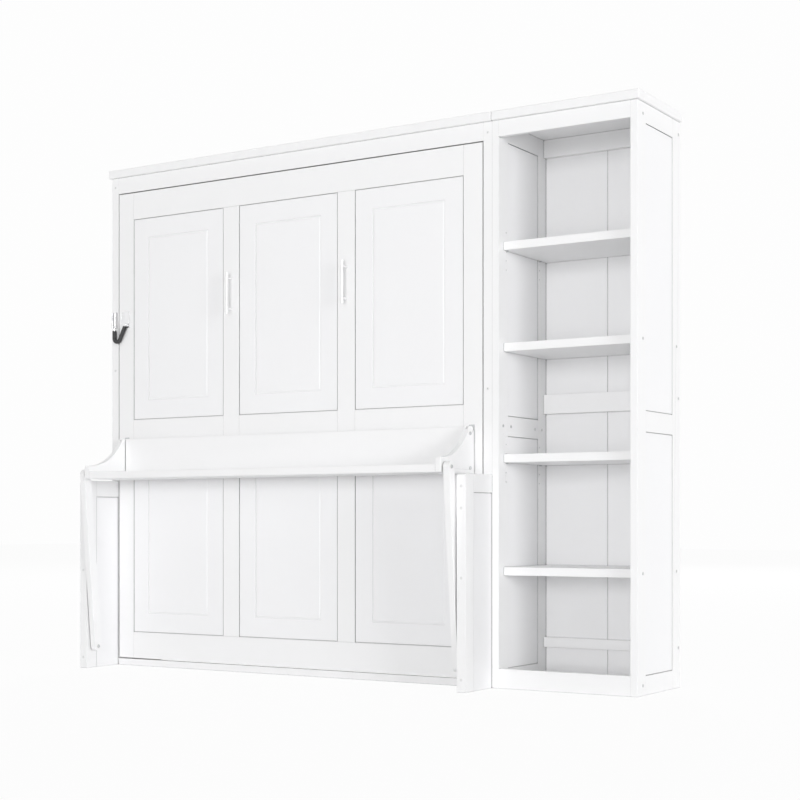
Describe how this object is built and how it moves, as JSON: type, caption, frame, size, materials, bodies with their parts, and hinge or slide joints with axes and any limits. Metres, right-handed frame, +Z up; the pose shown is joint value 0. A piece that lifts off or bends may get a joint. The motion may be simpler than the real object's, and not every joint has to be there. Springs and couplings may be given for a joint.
{
  "type": "wall bed with fold-down desk and bookcase",
  "caption": "White panelled wall bed: its door folds down on side pivots while a desk on parallel links stays level, beside an open bookcase.",
  "frame": {"origin": "middle of the whole footprint, on the floor, with the bed folded up", "axes": "+X to the right as seen from the room, along the width; +Y from the room to the wall; +Z up"},
  "size_m": [2.558, 0.664, 2.206],
  "materials": {
    "painted_wood": "smooth white satin paint",
    "painted_panel": "smooth white satin paint, a shade cooler",
    "back_board": "white lacquered board",
    "white_metal": "white powder coat",
    "pale_wood": "planed, unpainted",
    "steel": "zinc plated",
    "cap": "satin nickel",
    "dark_cap": "dark nickel",
    "bush": "natural nylon",
    "rod_steel": "bright chrome plate",
    "sleeve": "matt black"
  },
  "bodies": {
    "cabinet": {"left_side_frame": "painted_wood", "left_side_panels": "painted_panel", "right_side_frame": "painted_wood", "right_side_panels": "painted_panel", "left_wing_frame": "painted_wood", "right_wing_frame": "painted_wood", "wing_panels": "painted_panel", "crown_boards": "painted_wood", "bed_header_rail": "painted_wood", "threshold_rail": "painted_wood", "bed_back_rails": "painted_wood", "bookcase_left_frame": "painted_wood", "bookcase_left_panels": "painted_panel", "bookcase_right_frame": "painted_wood", "bookcase_right_panels": "painted_panel", "bookcase_header_rail": "painted_wood", "bookcase_base_rail": "painted_wood", "bookcase_back_boards": "back_board", "bookcase_back_rails": "painted_wood", "shelf_1": "painted_wood", "shelf_2": "painted_wood", "shelf_3": "painted_wood", "shelf_4": "painted_wood", "shelf_pins": "steel", "corner_blocks": "painted_wood", "cabinet_screw_caps": "cap", "bookcase_screw_caps": "dark_cap", "joining_bolts": "dark_cap", "cabinet_pivot_plates": "steel", "pivot_spacers": "bush", "link_lower_bolts": "steel", "latch_keeper": "rod_steel"},
    "bed": {"door_stiles": "painted_wood", "door_rails": "painted_wood", "door_upper_panels": "painted_panel", "door_lower_panels": "painted_panel", "handle_left": "white_metal", "handle_right": "white_metal", "bed_side_rails": "painted_wood", "bed_end_rails": "painted_wood", "slat_ledges": "pale_wood", "bed_centre_beam": "pale_wood", "bed_slats": "pale_wood", "bed_pivot_sockets": "steel", "desk_hinge_brackets": "steel", "latch_bracket": "rod_steel"},
    "desk": {"desk_top": "painted_wood", "desk_back_board": "painted_wood", "desk_ear_left": "painted_wood", "desk_ear_right": "painted_wood", "desk_pivot_bolts": "steel", "desk_fixing_bolts": "steel", "link_upper_spacers": "bush"},
    "link_arm_left": {"link_left": "painted_wood", "link_left_bushes": "bush"},
    "link_arm_right": {"link_right": "painted_wood", "link_right_bushes": "bush"},
    "latch_hook": {"latch_hook_rod": "rod_steel", "latch_hook_sleeve": "sleeve"}
  },
  "joints": [
    {"name": "bed_fold", "type": "hinge", "parent": "cabinet", "child": "bed", "pos_m": [-0.3, -0.042, 0.228], "axis": [1, 0, 0], "range_deg": [0, 90]},
    {"name": "desk_hinge", "type": "hinge", "parent": "bed", "child": "desk", "pos_m": [-0.3, -0.11, 0.976], "axis": [1, 0, 0], "range_deg": [-90, 0]},
    {"name": "link_left_pivot", "type": "hinge", "parent": "cabinet", "child": "link_arm_left", "pos_m": [-1.211, -0.238, 0.094], "axis": [1, 0, 0], "range_deg": [0, 90]},
    {"name": "link_right_pivot", "type": "hinge", "parent": "cabinet", "child": "link_arm_right", "pos_m": [0.611, -0.238, 0.094], "axis": [1, 0, 0], "range_deg": [0, 90]},
    {"name": "latch_turn", "type": "hinge", "parent": "bed", "child": "latch_hook", "pos_m": [-1.178, -0.086, 1.512], "axis": [0, -1, 0], "range_deg": [0, 60]}
  ],
  "couplings": [
    {"joint": "desk_hinge", "follows": "bed_fold", "ratio": -1},
    {"joint": "link_left_pivot", "follows": "bed_fold", "ratio": 1},
    {"joint": "link_right_pivot", "follows": "bed_fold", "ratio": 1}
  ]
}
